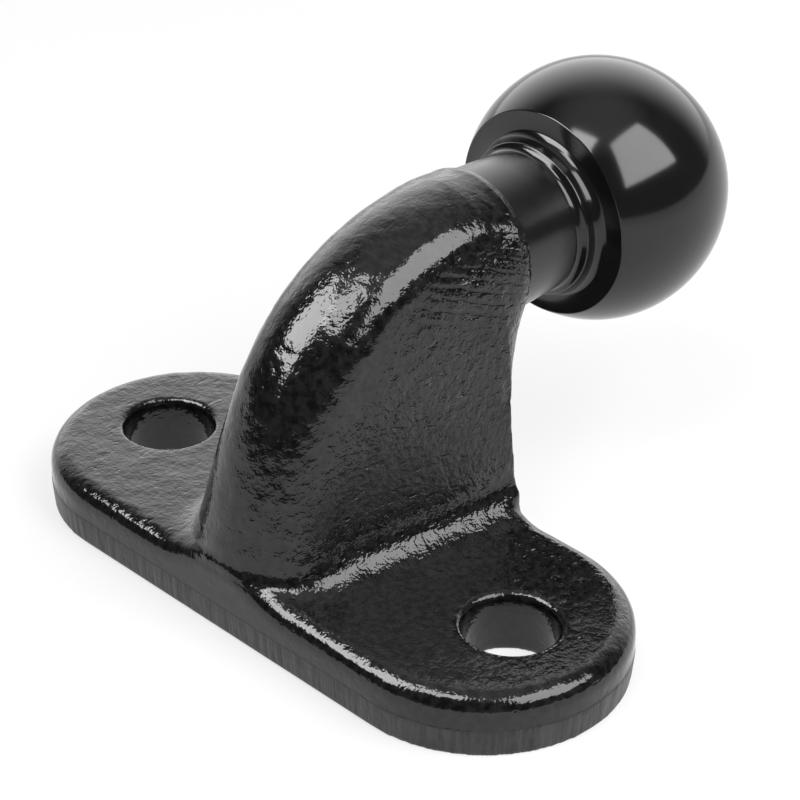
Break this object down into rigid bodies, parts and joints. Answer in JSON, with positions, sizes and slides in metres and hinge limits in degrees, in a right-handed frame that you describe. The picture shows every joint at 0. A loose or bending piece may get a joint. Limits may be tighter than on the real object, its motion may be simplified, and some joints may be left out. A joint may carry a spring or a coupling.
{
  "type": "tow ball mount",
  "caption": "Drop-forged flange tow ball: a bolt-on oval flange carries a curved web, a turned neck and a towing ball, painted gloss black.",
  "frame": {"origin": "middle of the mounting face, midway between the bolt holes", "axes": "+X along the line of the bolt holes, +Y the way the ball points, +Z out of the mounting face through the flange"},
  "size_m": [0.1304, 0.1211, 0.0799],
  "materials": {
    "black_paint": "gloss black paint over a forged steel skin, smooth on the turned neck and ball"
  },
  "bodies": {
    "root": {"tow_ball_mount": "black_paint"}
  },
  "joints": []
}
